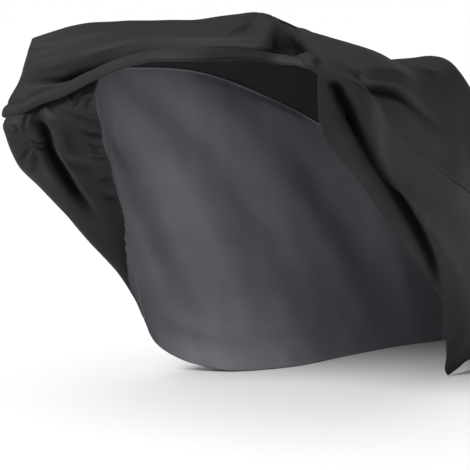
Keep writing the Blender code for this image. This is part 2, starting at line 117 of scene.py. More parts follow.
NEAR_BELLY = 0.030
NEAR_FOOT = 0.014
FAR_BELLY = 0.075
VISOR_FOLDS = (  # columns: along the mouth, height of the cuff, depth of its crease, height and depth of the hollow
    (0.00, 0.30, 0.000, 0.60, 0.000), (0.08, 0.30, 0.003, 0.62, 0.003), (0.16, 0.13, 0.006, 0.30, 0.000),
    (0.23, 0.10, 0.008, 0.30, 0.000), (0.285, 0.14, 0.009, 0.30, 0.000), (0.385, 0.22, 0.009, 0.30, 0.002),
    (0.49, 0.23, 0.008, 0.29, 0.005), (0.54, 0.23, 0.006, 0.29, 0.009), (0.60, 0.19, 0.005, 0.27, 0.012),
    (0.64, 0.17, 0.004, 0.29, 0.013), (0.68, 0.16, 0.005, 0.33, 0.013), (0.72, 0.15, 0.005, 0.38, 0.012),
    (0.76, 0.15, 0.003, 0.42, 0.005), (0.82, 0.15, 0.002, 0.45, 0.000), (1.00, 0.30, 0.000, 0.60, 0.000))
ROLL = (  # columns: along the mouth, radius of the edge turned under, width turned up inside
    (0.00, 0.004, 0.008), (0.12, 0.006, 0.020), (0.30, 0.007, 0.032), (0.46, 0.007, 0.032), (0.56, 0.006, 0.012),
    (0.85, 0.005, 0.009), (0.93, 0.004, 0.007), (1.00, 0.004, 0.006))

# Soft creases. Each is a line of places on its panel and its height there (below 0 for a trough), then its half width on
# the left and on the right, seen from outside and looking along it, and how crisp it is.

NEAR_CREASES = (  # places: along the panel, up it
    # the long groove behind the rim, the slope of the band down into it, and its far shoulder
    (((.026, 1.0, -.008), (.037, .985, -.020), (.052, .962, -.028), (.072, .938, -.033), (.092, .910, -.036),
      (.102, .877, -.038), (.102, .818, -.039), (.100, .754, -.040), (.093, .690, -.040), (.090, .630, -.038),
      (.085, .555, -.035), (.075, .480, -.030), (.060, .407, -.024), (.038, .334, -.016), (.023, .287, -.008),
      (.013, .250, 0)), .010, .018, 0.0),
    (((.036, .985, -.004), (.070, .938, -.012), (.090, .910, -.015), (.099, .877, -.017), (.099, .818, -.018),
      (.097, .754, -.018), (.090, .690, -.016), (.087, .630, -.014), (.082, .555, -.011), (.072, .480, -.007),
      (.057, .407, -.003), (.036, .334, 0)), .024, .052, 0.0),
    # slack folds further back
    (((.30, .98, 0), (.33, .80, -.001), (.35, .58, -.003), (.36, .35, -.004), (.37, .15, -.003), (.38, .02, 0)), .06, .05, 0.0),
    (((.45, .95, 0), (.47, .70, .004), (.50, .40, .007), (.52, .12, .005), (.53, 0, .003)), .05, .06, 0.0),
    (((.62, .97, 0), (.63, .75, -.004), (.65, .45, -.008), (.66, .15, -.007), (.66, 0, -.003)), .04, .06, 0.0),
    (((.76, .95, 0), (.77, .7, .004), (.79, .35, .007), (.80, .05, .005)), .05, .04, 0.0),
    (((.88, .9, 0), (.88, .6, -.004), (.89, .3, -.006), (.90, .05, -.003)), .03, .04, 0.0),
    (((.02, .12, 0), (.06, .10, -.003), (.12, .07, -.004), (.20, .05, -.003), (.30, .05, 0)), .016, .012, 0.1),
)
FAR_CREASES = (  # places: along the panel, up it
    # soft folds fanning from the top front corner, then the slack of the foot
    (((.02, .96, 0), (.09, .845, -.004), (.20, .68, -.007), (.31, .46, -.008), (.38, .24, -.005), (.41, .08, 0)), .045, .055, 0.0),
    (((.0, .90, 0), (.04, .80, .004), (.11, .62, .006), (.19, .40, .007), (.25, .20, .004), (.28, .06, 0)), .04, .045, 0.0),
    (((.06, .97, 0), (.15, .90, .004), (.28, .76, .006), (.42, .56, .008), (.52, .33, .006), (.57, .10, 0)), .05, .05, 0.0),
    (((.14, .98, 0), (.27, .92, -.004), (.42, .80, -.006), (.56, .62, -.008), (.67, .40, -.007), (.73, .12, 0)), .055, .05, 0.0),
    (((.0, .80, 0), (.015, .77, .004), (.04, .70, .005), (.07, .60, 0)), .018, .020, 0.0),
    (((.0, .70, 0), (.03, .58, -.004), (.08, .42, -.006), (.14, .26, -.004), (.18, .14, 0)), .030, .035, 0.0),
    (((.12, .16, 0), (.22, .13, .004), (.34, .12, .005), (.48, .13, .004), (.62, .12, 0)), .022, .03, 0.0),
    (((.45, .98, 0), (.58, .82, .004), (.70, .60, .006), (.79, .35, .006), (.83, .1, 0)), .045, .045, 0.0),
    (((.72, .96, 0), (.80, .72, -.005), (.87, .45, -.007), (.90, .2, -.004), (.91, .05, 0)), .04, .04, 0.0),
)
NOSE_CREASES = (  # places: round the nose, up it
    # the fold that lies over the front, its shadow side beside it
    (((.33, .93, 0), (.30, .905, .004), (.279, .869, .006), (.254, .805, .011), (.244, .736, .013), (.245, .64, .013),
      (.247, .54, .010), (.237, .45, .006), (.22, .36, 0)), .035, .008, 0.3),
    (((.31, .87, 0), (.285, .812, -.016), (.288, .74, -.028), (.297, .628, -.036), (.309, .519, -.033),
      (.305, .425, -.020), (.28, .33, 0)), .013, .017, 0.0),
    # drawn in under the cuff
    (((.345, .93, 0), (.335, .89, -.010), (.31, .85, -.012), (.30, .80, -.008), (.30, .76, 0)), .010, .014, 0.0),
    (((.30, .915, 0), (.284, .907, -.005), (.221, .88, -.007), (.158, .856, -.008), (.116, .839, -.008),
      (.083, .828, -.007), (.019, .818, -.004)), .013, .006, 0.4),
    (((.16, .835, 0), (.116, .82, .005), (.083, .808, .006), (.03, .80, .004), (0, .80, 0)), .005, .008, 0.3),
    # gathers at the top
    (((.19, .95, 0), (.175, .935, .005), (.141, .907, .006), (.117, .885, .003), (.11, .87, 0)), .005, .006, 0.4),
    (((.105, .95, 0), (.109, .928, -.006), (.114, .90, -.006), (.124, .885, -.003), (.13, .87, 0)), .005, .005, 0.5),
    (((.045, .95, 0), (.054, .926, .005), (.077, .901, .006), (.094, .883, .003), (.1, .87, 0)), .005, .005, 0.4),
    (((.01, .94, 0), (.021, .92, -.005), (.041, .895, -.006), (.049, .871, -.004), (.05, .85, 0)), .004, .005, 0.5),
    # puffs and gathers along the elastic edge
    (((.11, .805, 0), (.088, .802, .006), (.06, .79, .008), (.022, .79, .005), (0, .79, .002)), .008, .008, 0.0),
    (((.11, .79, 0), (.089, .78, -.006), (.06, .76, -.008), (.021, .763, -.006), (0, .77, -.002)), .006, .006, 0.3),
    (((.09, .735, 0), (.067, .72, -.006), (.038, .699, -.007), (.002, .702, -.005)), .006, .006, 0.3),
    (((.10, .69, 0), (.081, .678, .005), (.054, .656, .006), (.002, .654, .004)), .008, .007, 0.0),
    (((.10, .655, 0), (.08, .64, -.005), (.04, .622, -.006), (0, .625, -.004)), .007, .006, 0.2),
    (((.25, .68, 0), (.219, .667, -.006), (.187, .631, -.009), (.124, .592, -.006), (.08, .57, 0)), .016, .018, 0.0),
    (((.215, .83, 0), (.21, .79, .005), (.205, .75, .006), (.19, .70, .005), (.17, .66, 0)), .014, .012, 0.0),
    (((.10, .52, 0), (.06, .50, -.006), (.02, .49, -.007), (0, .49, -.004)), .012, .010, 0.1),
    (((.14, .44, 0), (.08, .40, -.006), (.03, .37, -.006), (0, .36, -.003)), .014, .010, 0.1),
    # small pleats at the turn
    (((.366, .90, 0), (.362, .87, -.006), (.357, .85, -.006), (.352, .82, 0)), .005, .005, 0.3),
    (((.38, .89, 0), (.372, .855, .006), (.375, .82, .005), (.38, .79, 0)), .006, .006, 0.0),
    (((.345, .88, 0), (.343, .855, .006), (.341, .84, .006), (.335, .81, 0)), .005, .005, 0.0),
    (((.41, .84, 0), (.398, .82, -.007), (.390, .805, -.006), (.38, .79, 0)), .006, .006, 0.2),
    (((.45, .84, 0), (.437, .835, -.003), (.415, .827, -.005), (.395, .83, 0)), .006, .006, 0.2),
    # a knot of creases, with folds running out of it
    (((.36, .79, 0), (.335, .778, .006), (.315, .768, .007), (.30, .77, 0)), .006, .006, 0.0),
    (((.36, .775, 0), (.338, .762, -.006), (.325, .755, -.006), (.31, .755, 0)), .005, .005, 0.1),
    (((.36, .765, 0), (.337, .752, .005), (.318, .745, .005), (.30, .74, 0)), .005, .005, 0.0),
    (((.355, .75, 0), (.336, .742, -.007), (.32, .733, -.006), (.305, .73, 0)), .005, .006, 0.1),
    (((.35, .745, 0), (.379, .735, -.007), (.408, .717, -.008), (.445, .704, -.004), (.47, .69, 0)), .007, .007, 0.2),
    (((.36, .735, 0), (.375, .712, .006), (.40, .688, .006), (.43, .67, 0)), .007, .007, 0.0),
    (((.345, .725, 0), (.36, .701, -.007), (.379, .675, -.007), (.405, .652, -.003), (.43, .63, 0)), .008, .008, 0.1),
    (((.325, .73, 0), (.326, .70, .007), (.33, .665, .008), (.35, .60, .005), (.37, .53, 0)), .016, .016, 0.0),
)
TOP_CREASES = (  # places: from the lower edge (0) over the crest (1) to the roof's end (2), then across
    # the long groove above the cuff
    (((.37, .77, 0), (.33, .73, -.010), (.26, .69, -.020), (.227, .645, -.031), (.18, .60, -.032), (.19, .56, -.030),
      (.212, .51, -.030), (.202, .47, -.031), (.190, .42, -.032), (.180, .386, -.032), (.172, .344, -.031),
      (.155, .286, -.029), (.16, .23, -.024), (.22, .195, -.016), (.34, .165, -.008), (.46, .14, 0)), .008, .010, 0.1),
    # the cloth that hangs over it
    (((.52, .79, 0), (.47, .73, .006), (.41, .68, .012), (.35, .64, .018), (.31, .60, .020), (.32, .56, .016),
      (.36, .51, .012), (.345, .46, .011), (.33, .40, .010), (.32, .34, .009), (.31, .28, .007), (.33, .22, 0)), .035, .011, 0.0),
    # a thin crease in the cuff
    (((.08, .76, 0), (.08, .735, -.004), (.085, .715, -.006), (.09, .695, -.006), (.11, .675, -.003), (.13, .655, 0)),
     .005, .004, 0.5),
    # the two soft steps of the far shoulder and the hollow between them
    (((.86, .80, 0), (.84, .755, .004), (.78, .69, .005), (.724, .634, .005), (.709, .576, .004), (.77, .51, .002),
      (.85, .44, 0)), .016, .022, 0.0),
    (((.76, .80, 0), (.75, .755, -.004), (.69, .70, -.005), (.64, .645, -.004), (.62, .59, -.002), (.62, .54, 0)),
     .016, .016, 0.0),
    (((.69, .80, 0), (.675, .762, .003), (.61, .716, .005), (.55, .676, .005), (.48, .63, .003), (.47, .58, 0)),
     .018, .022, 0.0),
    (((.88, .79, 0), (.70, .795, -.003), (.57, .80, -.006), (.44, .81, -.006), (.30, .82, -.003), (.16, .82, 0)), .045, .045, 0.0),
    # two drawn creases below the peak
    (((1.02, .232, 0), (.93, .241, -.003), (.784, .25, -.006), (.693, .261, -.006), (.633, .274, -.005),
      (.572, .293, -.003), (.55, .32, 0)), .012, .005, 0.3),
    (((1.0, .262, 0), (.85, .268, .004), (.75, .278, .005), (.68, .292, .003), (.65, .315, 0)), .010, .010, 0.0),
    (((.97, .200, 0), (.884, .213, -.004), (.734, .234, -.008), (.643, .253, -.009), (.466, .271, -.008),
      (.36, .29, -.005), (.34, .33, 0)), .018, .006, 0.3),
    (((.75, .250, 0), (.67, .264, .004), (.55, .278, .005), (.44, .298, .003), (.41, .33, 0)), .010, .010, 0.0),
    # the fold from the peak down to a puff above the cuff, with a broad flat facet on its near side
    (((1.0, .226, 0), (.93, .222, .008), (.80, .217, .013), (.66, .213, .016), (.52, .210, .017), (.40, .211, .014),
      (.28, .214, .006), (.20, .22, 0)), .026, .022, 0.2),
    (((.30, .18, 0), (.37, .185, -.006), (.46, .19, -.006), (.56, .19, 0)), .009, .008, 0.0),
    (((.24, .155, 0), (.31, .165, .005), (.38, .172, .003), (.42, .175, 0)), .007, .007, 0.0),
    (((.26, .20, 0), (.22, .16, -.004), (.20, .12, -.005), (.22, .08, -.004), (.28, .05, 0)), .005, .005, 0.2),
    (((.36, .15, 0), (.33, .125, -.004), (.32, .10, -.004), (.36, .07, 0)), .005, .005, 0.1),
    # the valley behind the crest, down to the near corner, with the roof standing up behind it
    (((1.06, .25, 0), (1.015, .215, -.002), (1.00, .170, -.009), (.995, .140, -.017), (1.00, .110, -.021),
      (1.005, .075, -.017), (1.008, .045, -.011), (1.01, .025, -.007), (1.01, .01, -.003)), .008, .024, 0.0),
    (((.98, .16, 0), (.90, .148, -.013), (.80, .138, -.025), (.68, .128, -.032), (.52, .118, -.030), (.38, .108, -.015),
      (.26, .10, 0)), .026, .060, 0.0),
    (((1.07, .25, 0), (1.04, .20, .004), (1.035, .15, .006), (1.035, .10, .007), (1.04, .06, .005), (1.045, .03, 0)),
     .026, .010, 0.0),
    # the hollow beside the near seam, and the ridge above it
    (((1.05, .015, 0), (1.10, .045, -.010), (1.155, .075, -.017), (1.21, .095, -.023), (1.26, .104, -.026),
      (1.30, .108, -.024), (1.35, .110, -.018), (1.41, .110, -.010), (1.48, .105, -.004), (1.55, .10, 0)), .014, .026, 0.0),
    (((1.13, .13, 0), (1.20, .150, .004), (1.26, .160, .006), (1.31, .168, .005), (1.38, .18, 0)), .020, .014, 0.0),
    # soft ridges at the rear corner
    (((1.44, .36, 0), (1.465, .32, .006), (1.475, .27, .009), (1.505, .238, .009), (1.54, .23, .007),
      (1.585, .247, .004), (1.62, .27, 0)), .012, .012, 0.0),
)
FLAT = {"near_side": (1.35, 0.80), "far_side": (1.30, 0.95), "top": (1.95, 1.25), "nose": (0.60, 0.85)}

# Cloth shapes


def smooth_line(knots, rows, at, calm=False):
    """A smooth line through rows at their knots, one for all of at, or one of its own for each."""
    knots, rows, at = np.asarray(knots, float), np.asarray(rows, float), np.asarray(at, float)
    single = rows.ndim == 2
    if single:
        rows = rows[:, None, :]
    shape, at = at.shape, at.ravel()
    step = np.diff(knots)[:, None, None]
    rise = np.diff(rows, axis=0) / step
    inner = (step[1:] * rise[:-1] + step[:-1] * rise[1:]) / (step[1:] + step[:-1])
    if calm:  # never past the rows on either side
        most = 2.0 * np.minimum(np.abs(rise[:-1]), np.abs(rise[1:]))
        inner = np.where(rise[:-1] * rise[1:] > 0, np.clip(inner, -most, most), 0.0)
    slope = np.concatenate([rise[:1], inner, rise[-1:]])
    i = np.clip(np.searchsorted(knots, at, side="right") - 1, 0, len(step) - 1)
    j = np.zeros(len(at), int) if single else np.arange(len(at))
    h = step[i, 0]
    u = (at - knots[i])[:, None] / h
    out = ((1 + 2 * u) * (1 - u) ** 2 * rows[i, j] + u * (1 - u) ** 2 * h * slope[i, j]
           + u * u * (3 - 2 * u) * rows[i + 1, j] + u * u * (u - 1) * h * slope[i + 1, j])
    return out.reshape(shape + (rows.shape[-1],))


def line(rows, at):
    """A point at a share of the way along a table's line."""
    rows = np.asarray(rows, float)
    chord = np.concatenate([[0.0], np.cumsum(np.linalg.norm(np.diff(rows, axis=0), axis=1))])
    return smooth_line(chord / chord[-1], rows, at)


def column(table, at, k):
    table = np.asarray(table, float)
    return smooth_line(table[:, 0], table[:, k:k + 1], at, True)[..., 0]


def bump(v, width):
    return np.exp(-(v / width) ** 2)


def ramp(v, a, b):
    u = np.clip((v - a) / (b - a), 0, 1)
    return u * u * (3 - 2 * u)


def arch(v):
    return np.sin(math.pi * np.clip(v, 0, 1))


def spread(*parts):
    """Places from joined runs: each part is (from, to, count), without its last place but for the last part."""
    runs = [np.linspace(a, b, n, endpoint=False) for a, b, n in parts]
    return np.concatenate(runs + [[parts[-1][1]]])


def unit(v):
    return v / np.maximum(np.linalg.norm(v, axis=-1, keepdims=True), 1e-12)


def patch(s, h, low, high, first, last):
    """The sheet between four lines: low and high run along s, first and last up h."""
    a, b, c, d = line(low, s), line(high, s), line(first, h), line(last, h)
    p00, p10, p01, p11 = (np.asarray(v, float) for v in (low[0], low[-1], high[0], high[-1]))
    s, h = s[..., None], h[..., None]
    return ((1 - h) * a + h * b + (1 - s) * c + s * d
            - (1 - s) * (1 - h) * p00 - s * (1 - h) * p10 - (1 - s) * h * p01 - s * h * p11)


def normals(grid, outward):
    return unit(outward * np.cross(np.gradient(grid, axis=0), np.gradient(grid, axis=1)))


def near_side(s, h):
    p = patch(s, h, NEAR_HEM, NEAR_SEAM, NEAR_RIM, NEAR_TAIL)
    out = NEAR_BELLY * arch(h) * ramp(s, 0.0, 0.22) * np.clip(1 - s, 0, 1) ** 0.5
    out += NEAR_FOOT * bump(h - 0.085, 0.06) * ramp(s, 0.02, 0.12) * ramp(1 - s, 0.0, 0.3)
    p[..., 1] -= out
    return p


def far_side(s, h):
    p = patch(s, h, FAR_HEM, FAR_SEAM, NOSE_SEAM, FAR_TAIL)
    low = ramp(s, 0.0, 0.3) * np.clip(1 - s, 0, 1) ** 0.5
    p[..., 1] += FAR_BELLY * arch(h ** 0.6) * low
    p[..., 2] = np.maximum(p[..., 2] - 0.015 * bump(h - 0.16, 0.12) * low, 0)
    return p


def roof(s, t):
    knots = [0.0] + [row[0] for row in ROOF]
    near, far = line(NEAR_SEAM, np.array(knots)), line(FAR_SEAM, np.array(knots))
    flat_s, flat_t = s.ravel(), t.ravel()
    rows = [line(VISOR, flat_t)[:, 3:]]
    for row, n, f in zip(ROOF, near[1:], far[1:]):
        rows.append(smooth_line((0, row[1], row[2], row[3], 1), (n, row[4:7], row[7:10], row[10:13], f), flat_t))
    p = smooth_line(knots, np.array(rows), flat_s, True)
    # its two long edges keep to their seams
    near_off = line(NEAR_SEAM, flat_s) - smooth_line(knots, near, flat_s, True)
    far_off = line(FAR_SEAM, flat_s) - smooth_line(knots, far, flat_s, True)
    p += near_off * (1 - flat_t[:, None]) ** 4 + far_off * flat_t[:, None] ** 4
    return p.reshape(s.shape + (3,))


def visor(q, t):
    row = line(VISOR, t)
    p = row[..., :3] + (row[..., 3:] - row[..., :3]) * q[..., None]
    return p + unit(row[..., 3:] - row[..., :3]) * (column(ROLL, t, 1) * (1 - q))[..., None]


def tail(h, t):
    low_near, low_far = line(NEAR_TAIL, h), line(FAR_TAIL, h)
    top = roof(np.ones_like(t), t)
    near, far = np.array(NEAR_TAIL[-1]), np.array(FAR_TAIL[-1])
    t, h = t[..., None], h[..., None]
    p = low_near * (1 - t) + low_far * t + h * (top - near * (1 - t) - far * t)
    p[..., 0:1] += TAIL_BULGE * (1 - h) * arch(t)
    return p


def top_folds(q, t):
    """How far each point of the top panel stands out of its smooth sheet: q is 1 and more behind the crest."""
    cuff, crease, height, hollow = (column(VISOR_FOLDS, t, k) for k in (1, 2, 3, 4))
    d = 0.007 * arch(q / cuff) ** 0.8 * (1 - 0.7 * ramp(t, 0.74, 0.86))
    d -= crease * bump(q - cuff, 0.22 * cuff)
    d -= 0.5 * hollow * bump(q - height, 0.10)
    d += 0.010 * arch((q - cuff) / (1 - cuff)) * ramp(0.84 - t, 0.0, 0.2)
    return d * np.clip(np.minimum(t, 1 - t) / 0.03, 0, 1)


def nose(a, b):
    edge, turn, back = line(NOSE_EDGE, b), line(NOSE_TURN, b), line(NOSE_SEAM, NOSE_TOP * b)
    full = arch(b)[..., None]
    front = (edge + turn) / 2 + np.array([-0.015, -0.020, 0.0]) * full
    side = turn * 0.6 + back * 0.4 + np.array([0.0, 0.030, 0.0]) * full
    rows = np.array([v.reshape(-1, 3) for v in (edge, front, turn, side, back)])
    return smooth_line((0, 0.25, 0.5, 0.72, 1.0), rows, a.ravel()).reshape(a.shape + (3,))


def nose_folds(a, b):
    """The gathers of the elastic edge."""
    wave = np.cos(2 * math.pi * 19 * b + 1.6 * np.sin(9 * b)) + 0.6 * np.cos(2 * math.pi * 31 * b + 2.0 + 1.3 * np.sin(5 * b))
    return 0.0022 * wave * bump(a, 0.05 + 0.02 * np.sin(23 * b)) * ramp(b, 0.03, 0.10)


def top_place(r, t):
    """The top panel's smooth sheet: r runs 0 to 1 up the visor, 1 to 2 back along the roof, 2 to 3 down the tail."""
    r, t = np.broadcast_arrays(np.asarray(r, float), np.asarray(t, float))
    up, back, down = visor(np.clip(r, 0, 1), t), roof(np.clip(r - 1, 0, 1), t), tail(np.clip(3 - r, 0, 1), t)
    return np.where(r[..., None] < 1, up, np.where(r[..., None] < 2, back, down))


def crease(points, outward, place, knots, left, right, crisp):
    """How far one crease or ridge moves each point out. knots: columns of its two places and its height, along it.
    left and right: its half widths, seen from outside and looking along it. crisp: 0 is round, 1 is folded sharp."""
    knots = np.array(knots, float)
    rough = place(knots[:, 0], knots[:, 1])
    chord = np.concatenate([[0.0], np.cumsum(np.linalg.norm(np.diff(rough, axis=0), axis=1))])
    at = np.linspace(0, 1, int(chord[-1] / 0.005) + 8)
    run = smooth_line(chord / chord[-1], knots, at)
    middle, height = place(run[:, 0], run[:, 1]), run[:, 2]
    flat = points.reshape(-1, 3)
    reach = 3.2 * max(left, right)
    near = np.where(((flat > middle.min(0) - reach) & (flat < middle.max(0) + reach)).all(1))[0]
    total = np.zeros(len(flat))
    ahead = unit(np.gradient(middle, axis=0))
    for part in np.array_split(near, len(near) // 4000 + 1):
        p = flat[part]
        square = ((p * p).sum(1)[:, None] + (middle * middle).sum(1)[None] - 2 * p @ middle.T)
        j = np.argmin(square, axis=1)
        off = p - middle[j]
        across = np.cross(outward.reshape(-1, 3)[part], ahead[j])
        far = np.linalg.norm(off, axis=1)
        side = (off * across).sum(1) / np.maximum(far, 1e-6)
        d = far / (left * (1 + side) / 2 + right * (1 - side) / 2)
        soft = 0.25
        shape = (1 - crisp) * np.exp(-d * d) + crisp * np.exp(-1.6 * (np.sqrt(d * d + soft * soft) - soft))
        total[part] = height[j] * shape
    return total.reshape(points.shape[:2])


def creases(points, outward, place, table):
    return sum(crease(points, outward, place, *row) for row in table)


def uneven(points, seed):
    """Soft unevenness of height about 1: broad waves of many directions through space, none of them regular."""
    rng = np.random.default_rng(seed)
    total = np.zeros(points.shape[:-1])
    for length, height, count in ((0.42, 0.8, 9), (0.19, 0.42, 12), (0.085, 0.17, 14)):
        for _ in range(count):
            way = unit(rng.normal(size=3))
            length_here = length * rng.uniform(0.75, 1.3)
            total += height * np.sin(2 * math.pi * (points @ way) / length_here + rng.uniform(0, 6.28)) / math.sqrt(count / 2)
    return total


# Meshes

GRIDS = {}


def edge_ways(grid):
    """The distance along the cloth of each point from each side of its grid."""
    rows = np.concatenate([np.zeros((1,) + grid.shape[1:2]), np.cumsum(np.linalg.norm(np.diff(grid, axis=0), axis=-1), axis=0)])
    cols = np.concatenate([np.zeros(grid.shape[:1] + (1,)), np.cumsum(np.linalg.norm(np.diff(grid, axis=1), axis=-1), axis=1)], axis=1)
    return {"low": rows, "high": rows[-1] - rows, "first": cols, "last": cols[:, -1:] - cols}


def cloth(name, grid, n, outward, folds, seams, hems, halve=()):
    """A closed thin sheet on a grid of points: its outer face, its inner face, and the edge between them.

    n: the smooth sheet's outward directions. folds: the height of the creases at each point. seams: side to the table
    of shared directions along it. hems: sides with a folded hem. halve: rows from which only every second column is
    kept."""
    ways = edge_ways(grid)
    far = np.full(grid.shape[:2], 9.0)
    seam_d, hem_d = far.copy(), far.copy()
    for side in seams:
        seam_d = np.minimum(seam_d, ways[side])
    for side in hems:
        hem_d = np.minimum(hem_d, ways[side])
    for side, shared in seams.items():
        w = (1 - ramp(ways[side], 0.0, 0.02))[..., None]
        direction = shared[:, None] if side in ("first", "last") else shared[None]
        n = unit(n * (1 - w) + direction * w)
    outer = grid - n * (SEAM_DIP * (1 - ramp(seam_d, 0.0, SEAM_REACH)))[..., None]
    outer[..., 2] = np.maximum(outer[..., 2], 0.0)
    depth = THICK + HEM_STEP * (1 - ramp(hem_d, HEM - 0.0015, HEM + 0.0015))
    inner = outer - n * depth[..., None]
    inner[..., 2] = np.maximum(inner[..., 2], 0.0)
    rows, cols = grid.shape[:2]
    index = np.arange(rows * cols).reshape(rows, cols)
    faces = []
    step = 1
    start = 0
    for cut in list(halve) + [rows - 1]:
        a, b = index[start:cut, ::step], index[start + 1:cut + 1, ::step]
        faces.append(("quad", np.stack([a[:, :-1], b[:, :-1], b[:, 1:], a[:, 1:]], -1).reshape(-1, 4)))
        if cut != rows - 1:
            a, b = index[cut], index[cut + 1]
            low, mid, high = a[:-1:2 * step], a[step::2 * step], a[2 * step::2 * step]
            l2, h2 = b[:-1:2 * step], b[2 * step::2 * step]
            faces.append(("five", np.stack([low, l2, h2, high, mid], -1).reshape(-1, 5)))
            start, step = cut + 1, step * 2
    used = np.zeros(rows * cols, bool)
    for kind, f in faces:
        used[f.ravel()] = True
    last_step = step
    # the ring of points round the sheet
    ring = [index[i, 0] for i in range(rows)]
    ring += [index[rows - 1, j] for j in range(last_step, cols, last_step)]
    ring += [index[i, cols - 1] for i in range(rows - 2, -1, -1)]
    ring += [index[0, j] for j in range(cols - 2, 0, -1)]
    ring = np.array(ring)
    count = rows * cols
    blocks = []
    for kind, f in faces:
        blocks.append((f if outward > 0 else np.roll(f[:, ::-1], 1, axis=1), 0))
        inside = f + count
        # the same corner comes first in both faces, so that both split along the same diagonal
        blocks.append((np.roll(inside[:, ::-1], 1, axis=1) if outward > 0 else inside, 1))
    nxt = np.roll(ring, -1)
    rim = np.stack([ring, ring + count, nxt + count, nxt], -1)
    blocks.append((rim if outward > 0 else rim[:, ::-1], 0))
    points = np.concatenate([outer.reshape(-1, 3), inner.reshape(-1, 3)]) - DATUM
    keep = np.concatenate([used, used])
    renumber = np.cumsum(keep) - 1
    points = points[keep]
    mesh = bpy.data.meshes.new(name)
    total = sum(f.size for f, _ in blocks)
    polys = sum(len(f) for f, _ in blocks)
    mesh.vertices.add(len(points))
    mesh.vertices.foreach_set("co", points.astype(np.float32).ravel())
    mesh.loops.add(total)
    mesh.loops.foreach_set("vertex_index", np.concatenate([renumber[f].ravel() for f, _ in blocks]).astype(np.int32))
    mesh.polygons.add(polys)
    sizes = np.concatenate([np.full(len(f), f.shape[1]) for f, _ in blocks])
    mesh.polygons.foreach_set("loop_start", np.concatenate([[0], np.cumsum(sizes)[:-1]]).astype(np.int32))
    mesh.polygons.foreach_set("material_index", np.concatenate([np.full(len(f), m) for f, m in blocks]).astype(np.int32))
    mesh.update(calc_edges=True)
    mesh.validate()
    # how the weave runs, how far each point is from a seam and a hem, and how deep in a fold, all in metres
    u, v = ways["low"], ways["first"]
    flat = np.stack([u, v], -1).reshape(-1, 2)
    flat = np.concatenate([flat, flat])[keep]
    layer = mesh.uv_layers.new(name="cloth")
    owner = np.zeros(total, np.int32)
    mesh.loops.foreach_get("vertex_index", owner)
    layer.data.foreach_set("uv", flat[owner].astype(np.float32).ravel())
    # the fold depth drives the painted shade of the folds in the materials
    for label, values in (("seam_d", seam_d), ("hem_d", hem_d), ("painted_shade_fold_depth", np.maximum(-folds, 0.0))):
        attribute = mesh.attributes.new(label, "FLOAT", "POINT")
        values = values.ravel()
        attribute.data.foreach_set("value", np.concatenate([values, values])[keep].astype(np.float32))
    mesh.shade_smooth()
    mesh.set_sharp_from_angle(angle=math.radians(60))
    ob = bpy.data.objects.new(name, mesh)
    bpy.context.scene.collection.objects.link(ob)
    return ob


def area(ob):
    """The outer face's area."""
    return sum(f.area for f in ob.data.polygons if f.material_index == 0)


# Materials


def shader_nodes(name):
    mat = bpy.data.materials.new(name)
    mat.use_nodes = True
    nodes, links = mat.node_tree.nodes, mat.node_tree.links
    return mat, nodes, links, nodes["Principled BSDF"]


def math_node(nodes, links, what, a, b=None, c=None):
    node = nodes.new("ShaderNodeMath")
    node.operation = what
    for i, value in enumerate((a, b, c)):
        if value is None:
            continue
        if isinstance(value, (int, float)):
            node.inputs[i].default_value = value
        else:
            links.new(value, node.inputs[i])
    return node.outputs[0]


